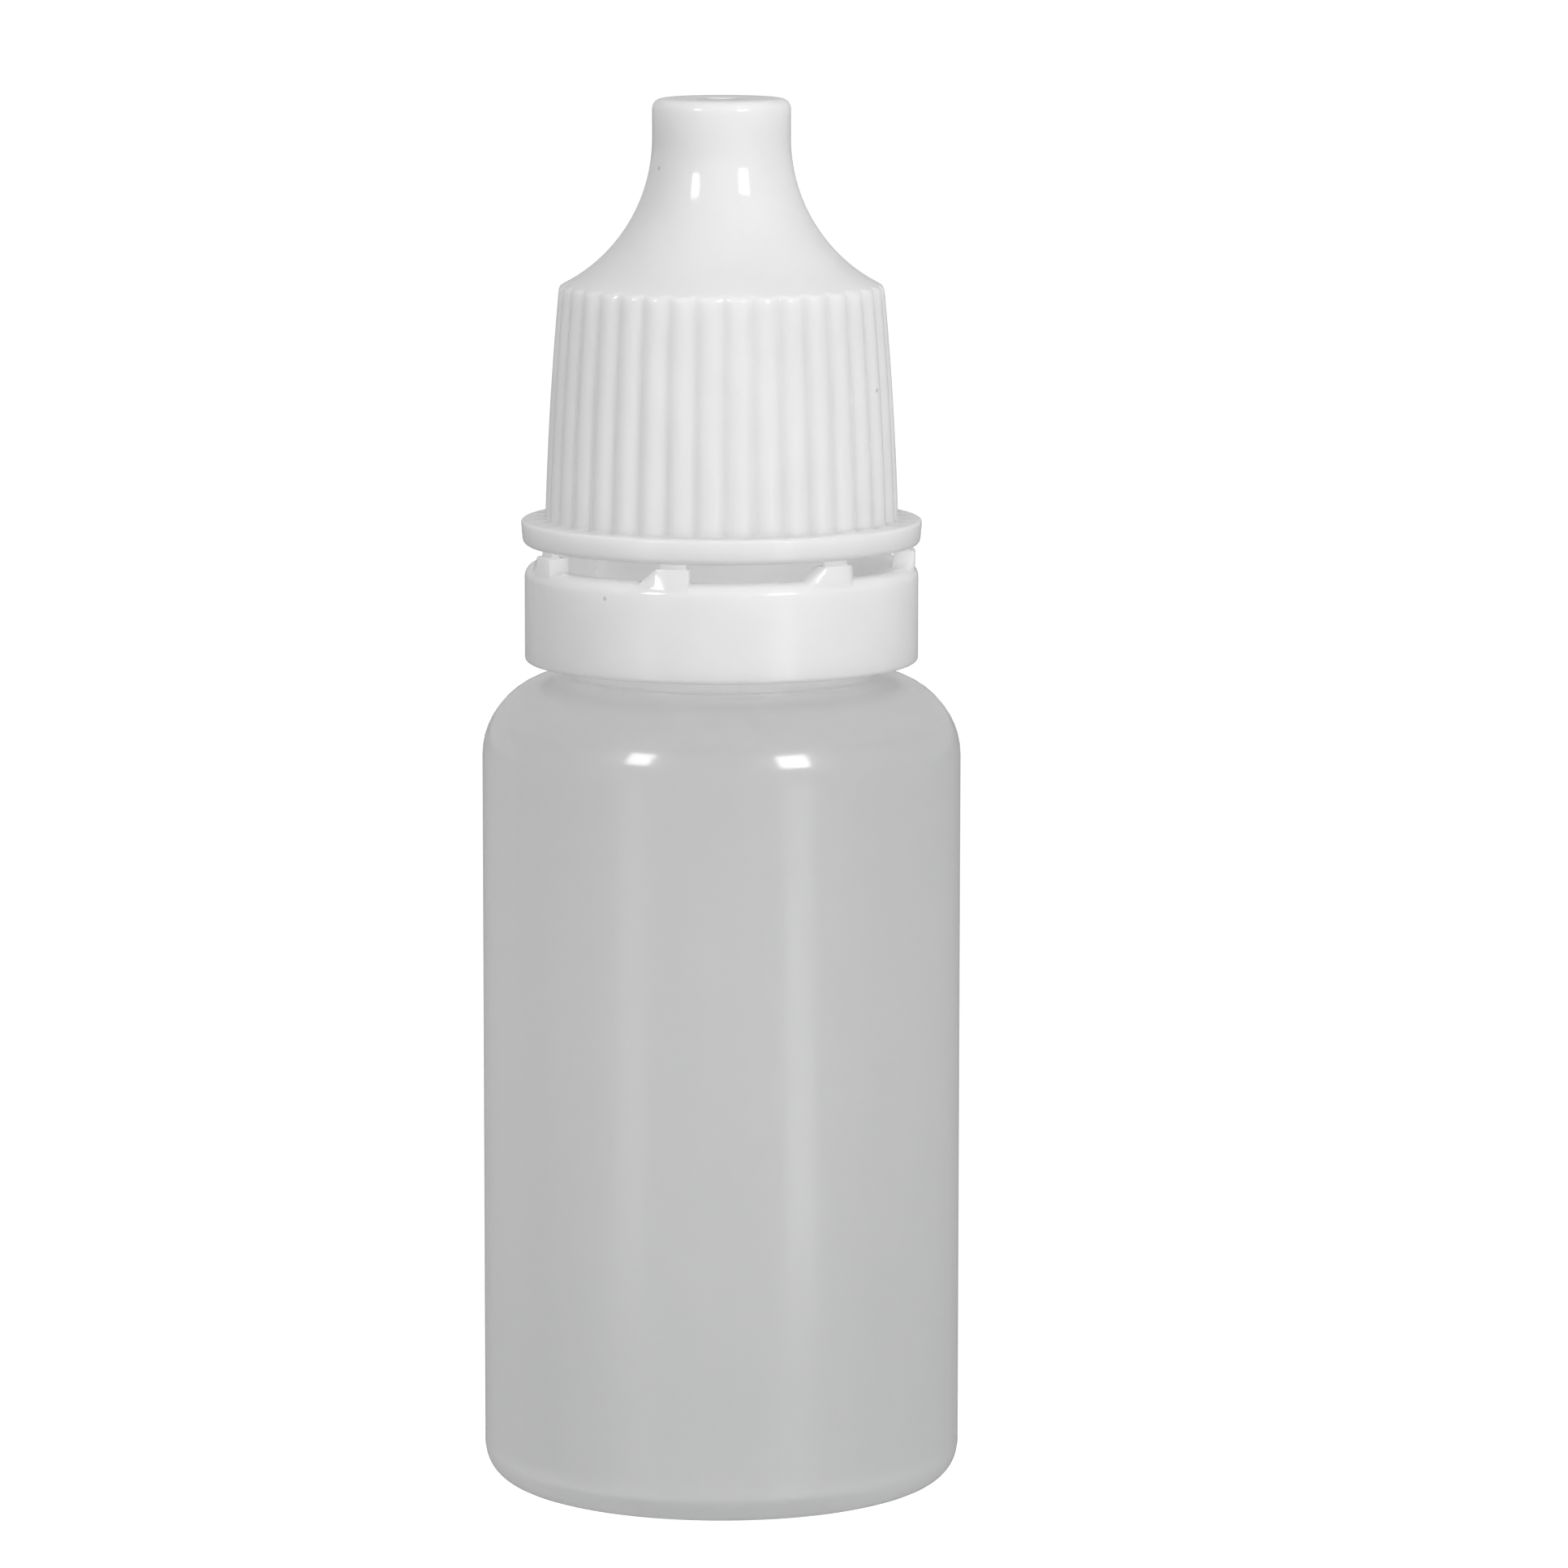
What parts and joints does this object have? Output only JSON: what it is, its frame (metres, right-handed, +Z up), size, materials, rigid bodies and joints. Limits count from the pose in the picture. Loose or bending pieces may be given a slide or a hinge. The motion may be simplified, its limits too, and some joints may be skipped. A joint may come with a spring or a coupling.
{
  "type": "eye drop bottle",
  "caption": "Round squeeze bottle with a press-in dropper tip, a ribbed screw cap that tapers to a narrow crown, and a tamper band left on the neck when the cap unscrews.",
  "frame": {"origin": "centre of the standing plane under the bottle, on its axis", "axes": "+Z up along the bottle's axis, towards the cap; -Y is the front, as pictured"},
  "size_m": [0.022, 0.022, 0.0641],
  "materials": {
    "natural_ldpe": "translucent natural polyethylene, blow moulded, soft satin gloss",
    "tip_ldpe": "translucent natural polyethylene, injection moulded, satin",
    "cap_white": "white polypropylene, injection moulded, glossy",
    "band_white": "white polypropylene, injection moulded, glossy"
  },
  "bodies": {
    "bottle": {"bottle": "natural_ldpe", "dropper_tip": "tip_ldpe"},
    "band": {"tamper_band": "band_white"},
    "cap": {"screw_cap": "cap_white"}
  },
  "joints": [
    {"name": "cap_turn", "type": "hinge", "parent": "bottle", "child": "band", "pos_m": [0, 0, 0.04], "axis": [0, 0, 1], "range_deg": [0, 720]},
    {"name": "cap_rise", "type": "slide", "parent": "band", "child": "cap", "axis": [0, 0, 1], "range_m": [0, 0.006]}
  ],
  "couplings": [
    {"joint": "cap_rise", "follows": "cap_turn", "m_per_rad": 0.00047746}
  ]
}
